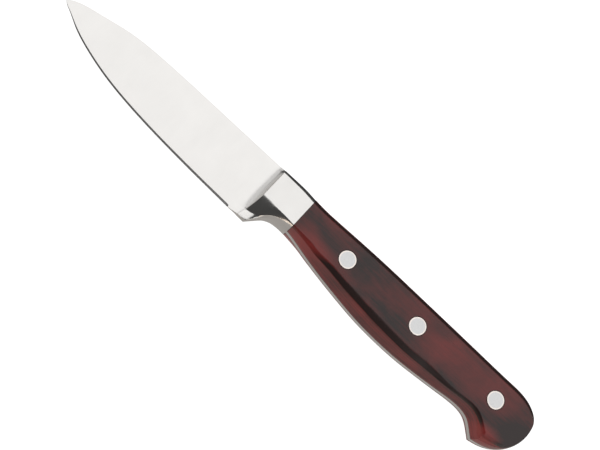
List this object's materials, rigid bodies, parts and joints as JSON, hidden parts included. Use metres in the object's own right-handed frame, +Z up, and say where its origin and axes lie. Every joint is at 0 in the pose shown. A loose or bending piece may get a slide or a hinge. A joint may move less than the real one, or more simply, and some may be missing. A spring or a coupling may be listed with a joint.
{
  "type": "paring knife",
  "caption": "Short kitchen knife with a forged blade, bolster and full tang in one, riveted laminated-wood handle scales and a hooked butt.",
  "frame": {"origin": "under the middle of the knife's bounding box, on the plane that its right side rests on", "axes": "+X from the blade's tip to the butt of the handle, +Y from the cutting edge to the spine, +Z up out of the knife's left side"},
  "size_m": [0.2046, 0.023, 0.014],
  "materials": {
    "blade_steel": "satin ground blade, polished bolster",
    "handle_wood": "polished dark red resin-laminated wood",
    "rivet_metal": "ground flush and polished",
    "adhesive": "dark cured resin"
  },
  "bodies": {
    "root": {"blade_forging": "blade_steel", "left_scale": "handle_wood", "right_scale": "handle_wood", "left_adhesive_film": "adhesive", "right_adhesive_film": "adhesive", "front_rivet_tube": "rivet_metal", "front_rivet_pin": "rivet_metal", "middle_rivet_tube": "rivet_metal", "middle_rivet_pin": "rivet_metal", "rear_rivet_tube": "rivet_metal", "rear_rivet_pin": "rivet_metal"}
  },
  "joints": []
}
